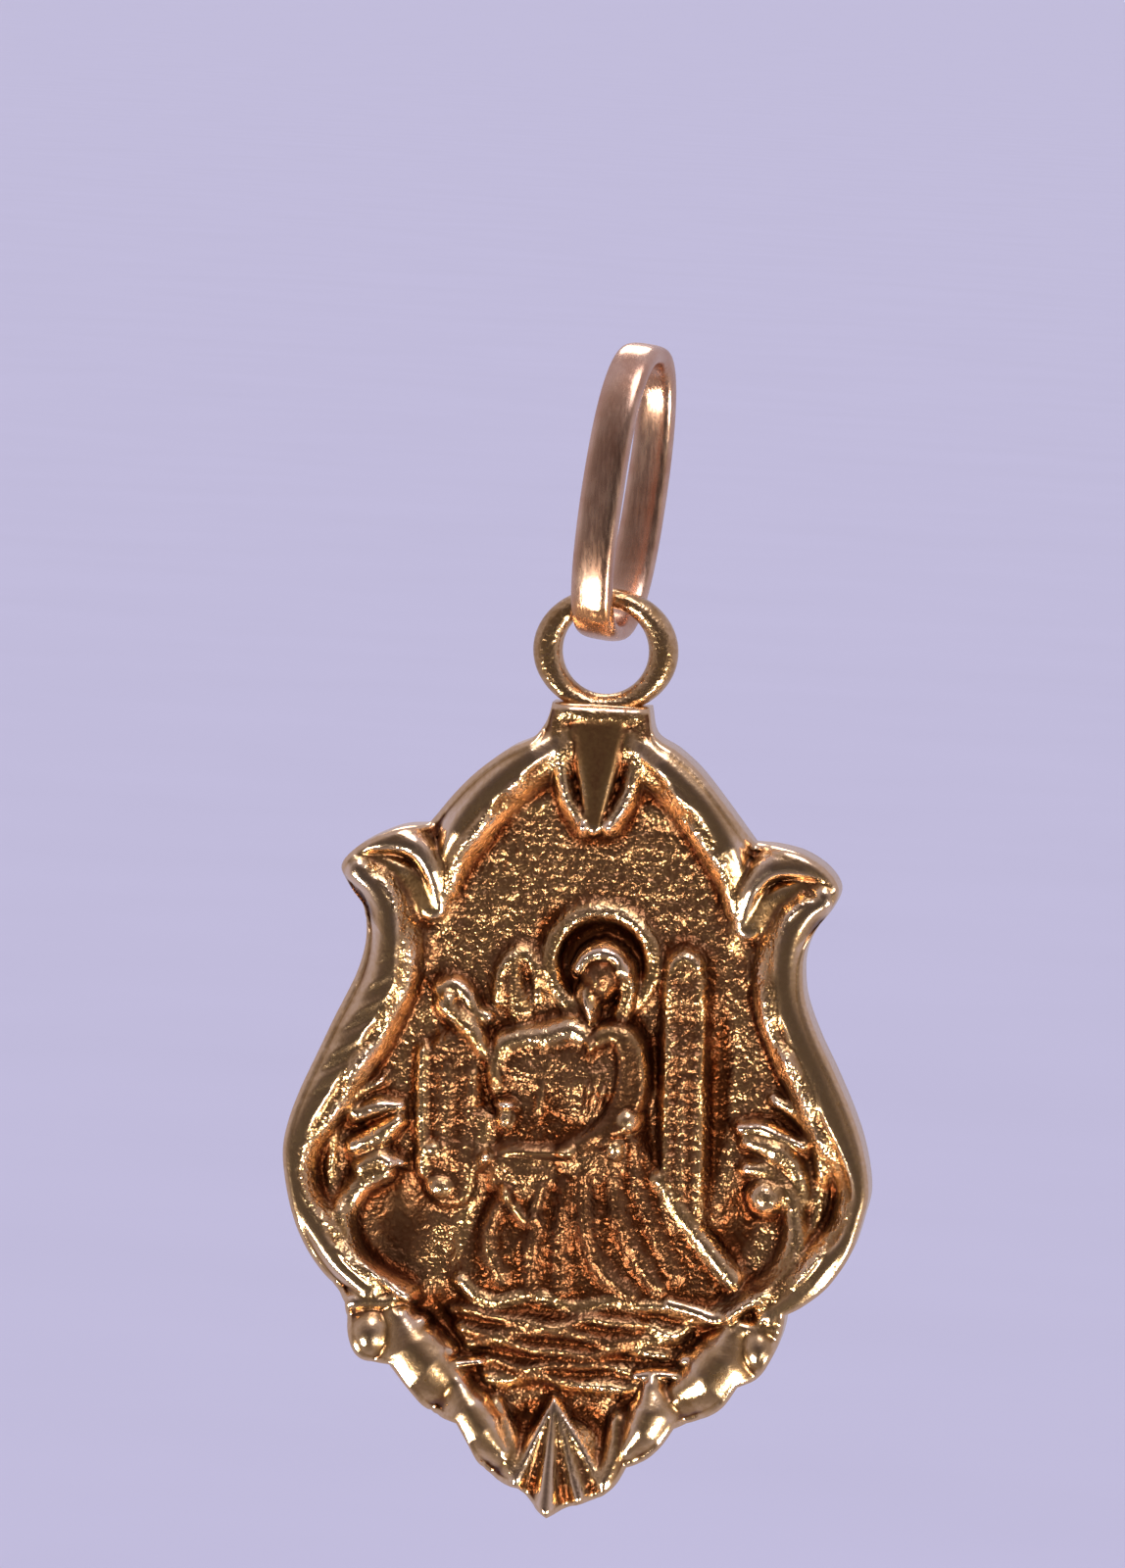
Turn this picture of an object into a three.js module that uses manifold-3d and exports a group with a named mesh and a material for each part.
// A cast gold religious medal on a long oval bail.
//
// Millimetres, +Z up. The face looks along -Y and +X is to the viewer's right. The origin is
// the inside top of the bail, by which the pendant hangs. Everything is below it but the band's top.
//
// The medal is one casting: a plate with a flat back, a raised relief, a neck and a ring.
// The bail is a closed band that passes through the ring from front to back.

import * as THREE from 'three';
import Module from 'manifold-3d';
import { mergeVertices } from 'three/addons/utils/BufferGeometryUtils.js';

const wasm = await Module();
wasm.setup();

// Medal. The face's centre is where its widest line crosses its axis.
const medalHalfWidth = 7.5;
const medalHalfHeight = 9.1; // from the face's centre down to the tip
const plateThickness = 0.8; // from the back to the sunk field
const reliefRise = 0.9; // from the field to the crown of the frame
const plateEdge = 0.14; // rounding of the plate's edges
const reliefRoot = 0.4; // how deep each raised form runs into the plate
const flatTopSlope = 1.6; // how soon a flat-topped form reaches its full height
const backBehindHinge = 0.62; // brings the medal's weight under the hinge

// Ring on the neck.
const ringWidth = 3.7;
const ringHeight = 3.2;
const ringHole = 2.2;
const ringDepth = 0.8; // front to back
const ringSeat = 0.26; // how deep the neck runs into the ring

// Bail.
const bailHeight = 7.6;
const bailDepth = 3.9; // front to back
const bandThickness = 0.5;
const bandWidth = 1.1;
const bandEdge = 0.16; // rounding of the band's four edges
const bailSquareness = 2.5; // 2 is an ellipse, more is closer to straight legs
const bailYaw = THREE.MathUtils.degToRad(14); // the front leg stands a little to the left
const bailLean = THREE.MathUtils.degToRad(5.5); // its top stands a little to the right
const hangingGap = 0.33; // between the bail and the ring that hangs in it

// How finely the surfaces are cut.
const edgeStep = 0.6; // along the medal's edge
const ridgeStep = 0.75; // along a ridge
const ridgeSides = 8;
const ridgeEnds = 2; // bands in a ridge's round end
const domeTurns = 10;
const domeBands = 6;
const ringTurns = 28;
const ringSides = 10;
const bailSteps = 40;
const smallestDetail = 0.01; // finer slivers left by the joins are cleaned away
const samePoint = 1e-4; // corners closer than this are one corner

const sides = [-1, 1];

// Half of the medal's edge, from the neck down to the tip. u is a share of medalHalfWidth and
// v a share of medalHalfHeight. The edge breaks at a row with corner set, and is smooth elsewhere.
const edgeRows = [
  { u: 0.165, v: 1.29, corner: true },
  { u: 0.18, v: 1.225 },
  { u: 0.3, v: 1.155 },
  { u: 0.44, v: 1.045 },
  { u: 0.55, v: 0.925, corner: true },
  { u: 0.67, v: 0.915 },
  { u: 0.8, v: 0.86 },
  { u: 0.85, v: 0.79 },
  { u: 0.785, v: 0.7 },
  { u: 0.745, v: 0.6 },
  { u: 0.775, v: 0.49 },
  { u: 0.88, v: 0.285 },
  { u: 0.965, v: 0.12 },
  { u: 1, v: -0.01 },
  { u: 0.965, v: -0.165 },
  { u: 0.87, v: -0.31 },
  { u: 0.755, v: -0.405, corner: true },
  { u: 0.745, v: -0.48 },
  { u: 0.695, v: -0.57 },
  { u: 0.595, v: -0.6, corner: true },
  { u: 0.525, v: -0.675 },
  { u: 0.44, v: -0.728 },
  { u: 0.365, v: -0.742, corner: true },
  { u: 0.315, v: -0.825 },
  { u: 0.255, v: -0.885 },
  { u: 0.17, v: -0.912, corner: true },
  { u: 0.1, v: -0.955 },
  { u: 0, v: -1, corner: true },
];

// Ridges of the frame, for one side and mirrored to the other. A ridge follows the smooth line
// through its [u, v] points. wide is its half width as a share of medalHalfWidth, rise its
// height as a share of reliefRise, each at the start and at the end.
const frameRidges = [
  {
    part: 'arch band',
    path: [[0.2, 1.135], [0.36, 1.04], [0.462, 0.94], [0.515, 0.84], [0.505, 0.74]],
    wide: [0.066, 0.045], rise: [1, 0.7],
  },
  {
    part: 'upper scroll',
    path: [[0.79, 0.845], [0.68, 0.862], [0.585, 0.81], [0.52, 0.72], [0.53, 0.61]],
    wide: [0.04, 0.028], rise: [0.95, 0.6],
  },
  {
    part: 'side band',
    path: [[0.79, 0.785], [0.695, 0.73], [0.668, 0.62], [0.7, 0.48], [0.81, 0.29], [0.9, 0.11],
      [0.925, -0.03], [0.895, -0.17], [0.81, -0.295], [0.68, -0.39]],
    wide: [0.07, 0.058], rise: [1, 0.9],
  },
  {
    part: 'inner bead',
    path: [[0.545, 0.6], [0.6, 0.46], [0.71, 0.3], [0.81, 0.14], [0.852, 0], [0.82, -0.15],
      [0.74, -0.27], [0.57, -0.395]],
    wide: [0.028, 0.028], rise: [0.5, 0.6],
  },
  {
    part: 'ball stem',
    path: [[0.55, -0.43], [0.63, -0.435], [0.72, -0.44]],
    wide: [0.03, 0.045], rise: [0.7, 0.85],
  },
  {
    part: 'first leaf',
    path: [[0.555, -0.49], [0.525, -0.58], [0.455, -0.665]],
    wide: [0.055, 0.06], rise: [0.75, 1],
  },
  {
    part: 'first leaf lip',
    path: [[0.5, -0.46], [0.475, -0.53], [0.4, -0.558]],
    wide: [0.024, 0.024], rise: [0.65, 0.65],
  },
  {
    part: 'second leaf',
    path: [[0.375, -0.63], [0.325, -0.73], [0.26, -0.825]],
    wide: [0.05, 0.058], rise: [0.75, 1],
  },
  {
    part: 'second leaf lip',
    path: [[0.43, -0.588], [0.36, -0.592], [0.28, -0.58]],
    wide: [0.022, 0.022], rise: [0.6, 0.6],
  },
];

const frameDomes = [
  { part: 'roll end', u: 0.795, v: 0.812, wide: 0.05, high: 0.052, rise: 0.9 },
  { part: 'ball', u: 0.672, v: -0.505, wide: 0.082, high: 0.082, rise: 1 },
  { part: 'first leaf body', u: 0.49, v: -0.62, wide: 0.1, high: 0.09, rise: 0.62 },
  { part: 'second leaf body', u: 0.3, v: -0.765, wide: 0.085, high: 0.09, rise: 0.62 },
];

// The neck's wedge and the ridges beside it. A flat form has a flat top.
const neckRidges = [
  {
    part: 'wedge',
    path: [[0, 1.17], [0, 1.06], [0.005, 0.95]],
    wide: [0.12, 0.05], rise: [0.75, 0.95], flat: true,
  },
  {
    part: 'left flank',
    path: [[-0.14, 1.24], [-0.115, 0.99]],
    wide: [0.05, 0.03], rise: [0.8, 0.75],
  },
  {
    part: 'right flank',
    path: [[0.14, 1.24], [0.115, 0.99]],
    wide: [0.05, 0.03], rise: [0.8, 0.75],
  },
];

// The seated figure, with what stands and lies round it.
const figureRidges = [
  {
    part: 'tall panel',
    path: [[0.335, 0.57], [0.345, 0.25], [0.365, -0.12]],
    wide: [0.075, 0.085], rise: [0.5, 0.4], flat: true,
  },
  {
    part: 'panel left rib',
    path: [[0.27, 0.52], [0.285, 0.2], [0.3, -0.1]],
    wide: [0.018, 0.018], rise: [0.62, 0.5],
  },
  {
    part: 'panel right rib',
    path: [[0.4, 0.52], [0.41, 0.2], [0.42, -0.1]],
    wide: [0.018, 0.018], rise: [0.62, 0.5],
  },
  {
    part: 'left finial',
    path: [[-0.235, 0.565], [-0.235, 0.42]],
    wide: [0.04, 0.06], rise: [0.5, 0.45],
  },
  {
    part: 'small figure body',
    path: [[-0.44, 0.41], [-0.355, 0.315]],
    wide: [0.04, 0.035], rise: [0.75, 0.6],
  },
  {
    part: 'small figure hood',
    path: [[-0.475, 0.47], [-0.41, 0.468], [-0.345, 0.39]],
    wide: [0.018, 0.018], rise: [0.5, 0.5],
  },
  {
    part: 'left drapery',
    path: [[-0.42, 0.27], [-0.41, 0.1], [-0.42, -0.06]],
    wide: [0.085, 0.07], rise: [0.35, 0.35],
  },
  {
    part: 'staff',
    path: [[-0.55, 0.26], [-0.535, -0.03]],
    wide: [0.018, 0.018], rise: [0.45, 0.4],
  },
  {
    part: 'robe',
    path: [[0, 0.06], [0.01, -0.17], [-0.04, -0.36]],
    wide: [0.25, 0.33], rise: [0.55, 0.4], flat: true,
  },
  {
    part: 'robe train',
    path: [[0.12, 0.08], [0.24, -0.14], [0.36, -0.33]],
    wide: [0.1, 0.13], rise: [0.5, 0.35], flat: true,
  },
  {
    part: 'sleeve',
    path: [[0.12, 0.375], [0.178, 0.28], [0.162, 0.16], [0.08, 0.075], [-0.06, 0.035]],
    wide: [0.058, 0.045], rise: [0.95, 0.85],
  },
  {
    part: 'left shoulder',
    path: [[-0.28, 0.345], [-0.14, 0.357], [-0.02, 0.385]],
    wide: [0.03, 0.035], rise: [0.6, 0.8],
  },
  {
    part: 'lap edge',
    path: [[-0.29, 0.005], [-0.16, 0.032], [-0.04, 0.028]],
    wide: [0.028, 0.028], rise: [0.85, 0.85],
  },
  {
    part: 'fold at the left',
    path: [[-0.31, -0.02], [-0.375, -0.16], [-0.365, -0.35]],
    wide: [0.03, 0.035], rise: [0.6, 0.6],
  },
  {
    part: 'knee fold',
    path: [[-0.24, -0.1], [-0.305, -0.21], [-0.255, -0.335]],
    wide: [0.026, 0.03], rise: [0.75, 0.65],
  },
  {
    part: 'hanging fold',
    path: [[-0.25, -0.085], [-0.13, -0.15], [-0.09, -0.06]],
    wide: [0.022, 0.022], rise: [0.85, 0.8],
  },
  {
    part: 'middle fold',
    path: [[-0.12, -0.18], [-0.14, -0.27], [-0.13, -0.37]],
    wide: [0.024, 0.03], rise: [0.65, 0.6],
  },
  {
    part: 'shin fold',
    path: [[-0.01, -0.1], [0.05, -0.25], [0.2, -0.36]],
    wide: [0.034, 0.034], rise: [0.8, 0.75],
  },
  {
    part: 'hip fold',
    path: [[0.11, 0.04], [0.14, -0.12], [0.27, -0.33]],
    wide: [0.03, 0.03], rise: [0.7, 0.6],
  },
  {
    part: 'train edge',
    path: [[0.3, -0.07], [0.43, -0.2], [0.55, -0.3]],
    wide: [0.028, 0.028], rise: [0.65, 0.65],
  },
  {
    part: 'hem',
    path: [[-0.37, -0.36], [-0.26, -0.405], [-0.11, -0.385], [0.03, -0.41], [0.15, -0.385],
      [0.29, -0.4], [0.46, -0.43]],
    wide: [0.03, 0.024], rise: [0.65, 0.55],
  },
];

const figureDomes = [
  { part: 'head', u: 0.055, v: 0.545, wide: 0.085, high: 0.075, rise: 1 },
  { part: 'hair', u: 0.105, v: 0.49, wide: 0.05, high: 0.07, rise: 0.75 },
  { part: 'beard', u: 0.035, v: 0.45, wide: 0.055, high: 0.055, rise: 0.8 },
  { part: 'chest', u: 0.04, v: 0.22, wide: 0.17, high: 0.2, rise: 0.62 },
  { part: 'book', u: -0.13, v: 0.26, wide: 0.13, high: 0.09, rise: 0.62 },
  { part: 'knee', u: -0.19, v: -0.04, wide: 0.14, high: 0.1, rise: 0.72 },
  { part: 'cup', u: -0.255, v: 0.13, wide: 0.045, high: 0.045, rise: 0.85 },
  { part: 'panel top', u: 0.335, v: 0.575, wide: 0.065, high: 0.045, rise: 0.6 },
  { part: 'small figure head', u: -0.445, v: 0.44, wide: 0.036, high: 0.03, rise: 0.72 },
  { part: 'staff knob', u: -0.505, v: 0.01, wide: 0.03, high: 0.028, rise: 0.5 },
  { part: 'drapery knob', u: -0.46, v: -0.09, wide: 0.045, high: 0.038, rise: 0.6 },
];

// Leaf scrolls that grow out of the frame on each side of the figure.
const leafRidges = [
  {
    part: 'left top leaf',
    path: [[-0.76, 0.1], [-0.69, 0.135], [-0.605, 0.12]],
    wide: [0.022, 0.02], rise: [0.55, 0.6],
  },
  {
    part: 'left middle leaf',
    path: [[-0.76, 0.03], [-0.69, 0.082], [-0.6, 0.055]],
    wide: [0.04, 0.03], rise: [0.6, 0.6],
  },
  {
    part: 'left low leaf',
    path: [[-0.73, -0.04], [-0.66, 0.005], [-0.59, -0.02]],
    wide: [0.035, 0.025], rise: [0.6, 0.55],
  },
  {
    part: 'left scroll',
    path: [[-0.67, -0.06], [-0.765, -0.12], [-0.78, -0.22], [-0.7, -0.33], [-0.55, -0.4]],
    wide: [0.04, 0.035], rise: [0.6, 0.6],
  },
  {
    part: 'right top leaf',
    path: [[0.57, 0.13], [0.67, 0.122], [0.76, 0.05], [0.8, -0.08]],
    wide: [0.024, 0.024], rise: [0.6, 0.5],
  },
  {
    part: 'right middle leaf',
    path: [[0.58, 0.075], [0.68, 0.055], [0.755, -0.03], [0.775, -0.16]],
    wide: [0.034, 0.03], rise: [0.6, 0.5],
  },
  {
    part: 'right scroll',
    path: [[0.64, -0.04], [0.7, -0.1], [0.715, -0.21], [0.65, -0.32], [0.5, -0.405]],
    wide: [0.045, 0.035], rise: [0.65, 0.6],
  },
];

const leafDomes = [
  { part: 'right leaf eye', u: 0.655, v: -0.055, wide: 0.06, high: 0.05, rise: 0.8 },
];

// Hollows below the field. sink is a share of reliefRise.
const hollows = [
  { part: 'behind the left scroll', u: -0.6, v: -0.17, wide: 0.1, high: 0.15, sink: 0.22 },
  { part: 'below the left hem', u: -0.43, v: -0.46, wide: 0.07, high: 0.06, sink: 0.18 },
];

// Halo behind the head.
const halo = { u: 0.045, v: 0.565, radius: 0.165, wide: 0.028, rise: 0.5, dish: 0.12 };

// Rows of ground below the hem.
const groundRows = 5;
const groundSteps = 8;
const ground = {
  top: -0.45, bottom: -0.635, halfTop: 0.4, halfBottom: 0.25, wide: 0.019, rise: 0.5,
  wave: 0.008, turnPerStep: 1.9, turnPerRow: 2.3, // a gentle wave, its turns in radians
};

// Shell fan at the tip.
const fanRibs = 5;
const fan = {
  u: -0.015, v: -0.67, length: 0.29, spread: 0.42, flare: 1.2,
  wide: [0.012, 0.034], rise: [0.45, 0.95],
};

// The curve through [u, v] shares, in millimetres from the face's centre.
function faceCurve(path) {
  const points = path.map(([u, v]) => new THREE.Vector2(u * medalHalfWidth, v * medalHalfHeight));
  return new THREE.SplineCurve(points);
}

function groundRidges() {
  const rows = [];
  for (let row = 0; row < groundRows; row += 1) {
    const share = row / (groundRows - 1);
    const v = THREE.MathUtils.lerp(ground.top, ground.bottom, share);
    const half = THREE.MathUtils.lerp(ground.halfTop, ground.halfBottom, share);
    const path = [];
    for (let step = 0; step <= groundSteps; step += 1) {
      const u = half * ((2 * step) / groundSteps - 1);
      const turn = step * ground.turnPerStep + row * ground.turnPerRow;
      path.push([u, v + ground.wave * Math.sin(turn)]);
    }
    rows.push({ part: 'ground', path, wide: [ground.wide, ground.wide], rise: [ground.rise, ground.rise] });
  }
  return rows;
}

function fanRidges() {
  const rows = [];
  for (let rib = 0; rib < fanRibs; rib += 1) {
    const angle = fan.spread * ((2 * rib) / (fanRibs - 1) - 1);
    const length = fan.length * Math.cos(angle);
    const tip = [fan.u + fan.flare * length * Math.tan(angle), fan.v - length];
    rows.push({ part: 'fan', path: [[fan.u, fan.v], tip], wide: fan.wide, rise: fan.rise });
  }
  return rows;
}

function mirrored(row, side) {
  if (row.path) return { ...row, path: row.path.map(([u, v]) => [side * u, v]) };
  return { ...row, u: side * row.u };
}

function bothSides(rows) {
  return sides.flatMap((side) => rows.map((row) => mirrored(row, side)));
}

// Outline of the medal's edge. Each stretch between two corners is one smooth curve.
function edgeShape() {
  const half = [];
  let stretch = [];
  for (const row of edgeRows) {
    stretch.push([row.u, row.v]);
    if (row.corner && stretch.length > 1) {
      const curve = faceCurve(stretch);
      const steps = Math.max(2, Math.round(curve.getLength() / edgeStep));
      half.push(...curve.getSpacedPoints(steps).slice(0, -1));
      stretch = [[row.u, row.v]];
    }
  }
  const tip = new THREE.Vector2(0, -medalHalfHeight);
  const left = half.map((point) => new THREE.Vector2(-point.x, point.y)).reverse();
  return new THREE.Shape([...half, tip, ...left]);
}

// The face's own frame, used by every form of the medal: x to the right and y up from the
// face's centre, and z towards the viewer from the flat back.
function plateGeometry() {
  const geometry = new THREE.ExtrudeGeometry(edgeShape(), {
    depth: plateThickness - 2 * plateEdge,
    bevelThickness: plateEdge,
    bevelSize: plateEdge,
    bevelOffset: -plateEdge,
    bevelSegments: 2,
    curveSegments: 1,
  });
  geometry.translate(0, 0, plateEdge);
  return geometry;
}

// Height over the field at a share of a form's own height, which is below 0 in its root.
function reliefHeight(share, rise, flat) {
  if (share < 0) return plateThickness + share * reliefRoot;
  return plateThickness + rise * reliefRise * (flat ? Math.min(flatTopSlope * share, 1) : share);
}

// A capsule bent along the ridge's curve, with an oval section and round ends.
function ridgeGeometry(row) {
  const curve = faceCurve(row.path);
  const length = curve.getLength();
  const steps = Math.max(row.path.length - 1, Math.round(length / ridgeStep));
  const geometry = new THREE.CapsuleGeometry(1, length, ridgeEnds, ridgeSides, steps);
  const position = geometry.attributes.position;
  for (let k = 0; k < position.count; k += 1) {
    const along = position.getY(k) + length / 2;
    const inside = THREE.MathUtils.clamp(along, 0, length);
    const way = inside / length;
    const middle = curve.getPointAt(way);
    const tangent = curve.getTangentAt(way);
    const wide = THREE.MathUtils.lerp(...row.wide, way) * medalHalfWidth;
    const rise = THREE.MathUtils.lerp(...row.rise, way);
    const across = position.getX(k) * wide;
    const past = (along - inside) * wide;
    position.setXYZ(
      k,
      middle.x + tangent.x * past + tangent.y * across,
      middle.y + tangent.y * past - tangent.x * across,
      reliefHeight(position.getZ(k), rise, row.flat),
    );
  }
  return geometry;
}

function domeGeometry(row) {
  const geometry = new THREE.SphereGeometry(1, domeTurns, domeBands);
  geometry.rotateX(Math.PI / 2);
  const position = geometry.attributes.position;
  for (let k = 0; k < position.count; k += 1) {
    position.setXYZ(
      k,
      (row.u + row.wide * position.getX(k)) * medalHalfWidth,
      row.v * medalHalfHeight + row.high * position.getY(k) * medalHalfHeight,
      reliefHeight(position.getZ(k), row.rise, false),
    );
  }
  return geometry;
}

// A hollow is cut by a ball whose lower half reaches below the field.
function hollowGeometry(row) {
  const geometry = new THREE.SphereGeometry(1, domeTurns, domeBands);
  geometry.rotateX(Math.PI / 2);
  geometry.scale(row.wide * medalHalfWidth, row.high * medalHalfHeight, row.sink * reliefRise);
  geometry.translate(row.u * medalHalfWidth, row.v * medalHalfHeight, plateThickness);
  return geometry;
}

// The halo: a round rim on a low disc.
function haloGeometry() {
  const profile = [new THREE.Vector2(0, plateThickness - reliefRoot)];
  const outer = halo.radius + halo.wide;
  const inner = halo.radius - halo.wide;
  const rim = plateThickness + halo.rise * reliefRise;
  const dish = plateThickness + halo.dish * reliefRise;
  profile.push(new THREE.Vector2(outer * medalHalfWidth, plateThickness - reliefRoot));
  profile.push(new THREE.Vector2(outer * medalHalfWidth, (plateThickness + rim) / 2));
  profile.push(new THREE.Vector2(halo.radius * medalHalfWidth, rim));
  profile.push(new THREE.Vector2(inner * medalHalfWidth, (dish + rim) / 2));
  profile.push(new THREE.Vector2((inner - halo.wide) * medalHalfWidth, dish));
  profile.push(new THREE.Vector2(0, dish));
  const geometry = new THREE.LatheGeometry(profile, 2 * domeTurns);
  geometry.rotateX(Math.PI / 2);
  geometry.translate(halo.u * medalHalfWidth, halo.v * medalHalfHeight, 0);
  return geometry;
}

// The ring: a turned band with an oval section, wider at its sides than at its top.
function ringGeometry() {
  const inner = ringHole / 2;
  const outer = ringWidth / 2;
  const profile = [];
  for (let side = 0; side <= ringSides; side += 1) {
    const angle = (2 * Math.PI * side) / ringSides;
    const radius = (inner + outer) / 2 + ((outer - inner) / 2) * Math.cos(angle);
    profile.push(new THREE.Vector2(radius, (ringDepth / 2) * Math.sin(angle)));
  }
  const geometry = new THREE.LatheGeometry(profile, ringTurns);
  geometry.rotateX(Math.PI / 2);
  const position = geometry.attributes.position;
  for (let k = 0; k < position.count; k += 1) {
    const x = position.getX(k);
    const y = position.getY(k);
    const out = (Math.hypot(x, y) - inner) / (outer - inner);
    position.setY(k, y * THREE.MathUtils.lerp(1, ringHeight / ringWidth, out));
  }
  geometry.translate(0, ringAboveFace, backBehindHinge);
  return geometry;
}

function toSolid(geometry) {
  const bare = geometry.clone();
  bare.deleteAttribute('normal');
  bare.deleteAttribute('uv');
  const merged = mergeVertices(bare, samePoint);
  return new wasm.Manifold(new wasm.Mesh({
    numProp: 3,
    vertProperties: new Float32Array(merged.attributes.position.array),
    triVerts: new Uint32Array(merged.index.array),
  }));
}

function toGeometry(solid) {
  const mesh = solid.getMesh();
  const geometry = new THREE.BufferGeometry();
  geometry.setAttribute('position', new THREE.BufferAttribute(mesh.vertProperties, 3));
  geometry.setIndex(new THREE.BufferAttribute(mesh.triVerts, 1));
  geometry.computeVertexNormals();
  return geometry;
}

function joined(geometries) {
  return geometries.map(toSolid).reduce((whole, next) => whole.add(next));
}

// One turn of the bail's oval, as seen from its side: |y / a| ^ n + |z / b| ^ n = 1.
function bailOval(inset) {
  const points = [];
  const power = 2 / bailSquareness;
  for (let step = 0; step < bailSteps; step += 1) {
    const angle = (2 * Math.PI * step) / bailSteps;
    const across = Math.sign(Math.cos(angle)) * Math.abs(Math.cos(angle)) ** power;
    const up = Math.sign(Math.sin(angle)) * Math.abs(Math.sin(angle)) ** power;
    points.push(new THREE.Vector2((bailDepth / 2 - inset) * across, (bailHeight / 2 - inset) * up));
  }
  return points;
}

// The band is drawn in its oval's plane and then stood upright, with its width along X.
function bailGeometry() {
  const oval = new THREE.Shape(bailOval(0));
  oval.holes.push(new THREE.Path(bailOval(bandThickness)));
  const geometry = new THREE.ExtrudeGeometry(oval, {
    depth: bandWidth - 2 * bandEdge,
    bevelThickness: bandEdge,
    bevelSize: bandEdge,
    bevelOffset: -bandEdge,
    bevelSegments: 2,
    curveSegments: 1,
  });
  geometry.translate(0, 0, bandEdge - bandWidth / 2);
  geometry.rotateX(Math.PI / 2);
  geometry.rotateZ(Math.PI / 2);
  return geometry;
}

const castGold = new THREE.MeshStandardMaterial({ color: 0xc08a4a, roughness: 0.38, metalness: 1 });
const bailGold = new THREE.MeshStandardMaterial({ color: 0xd9a382, roughness: 0.3, metalness: 1 });

const ringTube = (ringHeight - ringHole) / 2; // thickness of the ring's top
const bailReach = bailHeight - 2 * bandThickness; // from the bail's inside top to its inside bottom
const hingeReach = bailReach - hangingGap - ringTube / 2; // and to the middle of the ring's top
const hingeX = -hingeReach * Math.sin(bailLean);
const hingeZ = -hingeReach * Math.cos(bailLean);
const neckTop = edgeRows[0].v * medalHalfHeight;
const ringAboveFace = neckTop - ringSeat + ringHeight / 2;
const faceZ = hingeZ + ringTube / 2 - ringHeight / 2 - ringAboveFace;

function medalMesh() {
  const ridges = [
    ...bothSides(frameRidges),
    ...neckRidges,
    ...figureRidges,
    ...leafRidges,
    ...groundRidges(),
    ...fanRidges(),
  ];
  const domes = [...bothSides(frameDomes), ...figureDomes, ...leafDomes];
  const field = toSolid(plateGeometry()).subtract(joined(hollows.map(hollowGeometry)));
  const relief = joined([...ridges.map(ridgeGeometry), ...domes.map(domeGeometry), haloGeometry()]);
  const solid = field.add(relief).add(toSolid(ringGeometry())).simplify(smallestDetail);
  const mesh = new THREE.Mesh(toGeometry(solid), castGold);
  mesh.name = 'medal';
  mesh.rotation.x = Math.PI / 2;
  mesh.position.set(hingeX, backBehindHinge, faceZ);
  return mesh;
}

function bailMesh() {
  const mesh = new THREE.Mesh(bailGeometry(), bailGold);
  mesh.name = 'bail';
  mesh.rotation.set(0, bailLean, -bailYaw);
  mesh.position.set(-Math.sin(bailLean), 0, -Math.cos(bailLean)).multiplyScalar(bailReach / 2);
  return mesh;
}

const pendant = new THREE.Group();
pendant.add(bailMesh(), medalMesh());

export default pendant;
